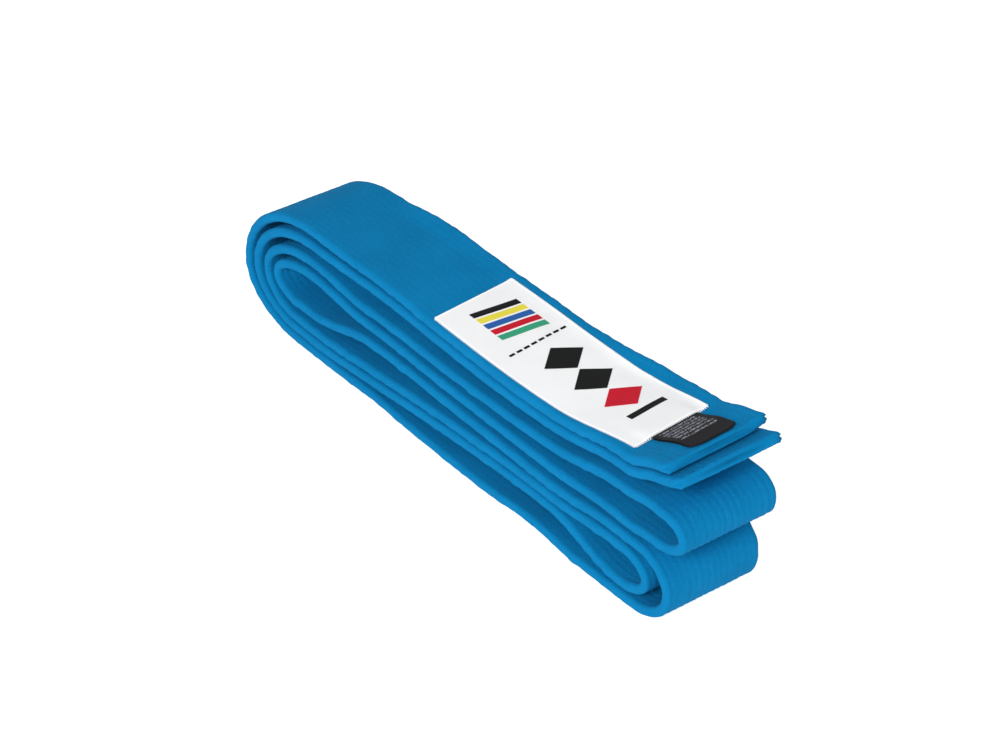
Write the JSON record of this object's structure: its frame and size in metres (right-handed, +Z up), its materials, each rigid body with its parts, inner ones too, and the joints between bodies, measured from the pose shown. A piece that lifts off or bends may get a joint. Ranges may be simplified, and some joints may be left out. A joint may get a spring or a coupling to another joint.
{
  "type": "martial arts belt",
  "caption": "Flat stitched cotton belt folded in half three times into a long narrow hank, with a sewn white label and a small black care tag near its upper free end.",
  "frame": {"origin": "under the middle of the folded belt, on the surface that its lowest layer lies on", "axes": "+X along the folded belt towards its two free ends, +Y across its width, +Z up through the layers"},
  "size_m": [0.2928, 0.045, 0.0774],
  "materials": {
    "cover_cotton": "blue cotton twill with lengthwise rows of stitching",
    "core_canvas": "undyed canvas plies, hidden inside the cover",
    "label_weave": "smooth woven polyester satin with woven colour shapes",
    "label_thread": "white overcast thread",
    "tag_ribbon": "black woven ribbon with small pale dashes"
  },
  "bodies": {
    "hank": {"layer_5_cover": "cover_cotton", "layer_5_core": "core_canvas", "layer_6_cover": "cover_cotton", "layer_6_core": "core_canvas", "layer_7_cover": "cover_cotton", "layer_7_core": "core_canvas", "layer_8_cover": "cover_cotton", "layer_8_core": "core_canvas", "left_turn_1_8_cover": "cover_cotton", "left_turn_1_8_core": "core_canvas", "left_turn_2_7_cover": "cover_cotton", "left_turn_2_7_core": "core_canvas", "left_turn_3_6_cover": "cover_cotton", "left_turn_3_6_core": "core_canvas", "left_turn_4_5_cover": "cover_cotton", "left_turn_4_5_core": "core_canvas", "right_turn_5_8_cover": "cover_cotton", "right_turn_5_8_core": "core_canvas", "right_turn_6_7_cover": "cover_cotton", "right_turn_6_7_core": "core_canvas"},
    "middle_fold": {"layer_4_cover": "cover_cotton", "layer_4_core": "core_canvas", "layer_3_cover": "cover_cotton", "layer_3_core": "core_canvas", "right_turn_3_4_cover": "cover_cotton", "right_turn_3_4_core": "core_canvas", "layer_2_back_cover": "cover_cotton", "layer_2_back_core": "core_canvas", "layer_1_back_cover": "cover_cotton", "layer_1_back_core": "core_canvas"},
    "lower_end": {"layer_2_end_cover": "cover_cotton", "layer_2_end_core": "core_canvas", "layer_2_hem": "cover_cotton", "layer_1_mid_cover": "cover_cotton", "layer_1_mid_core": "core_canvas"},
    "top_end": {"layer_1_end_cover": "cover_cotton", "layer_1_end_core": "core_canvas", "layer_1_hem": "cover_cotton", "maker_label": "label_weave", "label_stitching_near": "label_thread", "label_stitching_far": "label_thread", "label_stitching_left": "label_thread", "label_stitching_right": "label_thread"},
    "care_tag": {"care_tag": "tag_ribbon"}
  },
  "joints": [
    {"name": "middle_fold_lift", "type": "hinge", "parent": "hank", "child": "middle_fold", "pos_m": [-0.09515, 0, 0.061], "axis": [0, -1, 0], "range_deg": [0, 25]},
    {"name": "lower_end_lift", "type": "hinge", "parent": "middle_fold", "child": "lower_end", "pos_m": [-0.06185, 0, 0.06094], "axis": [0, -1, 0], "range_deg": [0, 40]},
    {"name": "top_end_lift", "type": "hinge", "parent": "lower_end", "child": "top_end", "pos_m": [-0.03585, 0, 0.0613], "axis": [0, -1, 0], "range_deg": [0, 60]},
    {"name": "care_tag_flip", "type": "hinge", "parent": "top_end", "child": "care_tag", "pos_m": [0.1113, 0, 0.07], "axis": [0, -1, 0], "range_deg": [0, 90]}
  ]
}
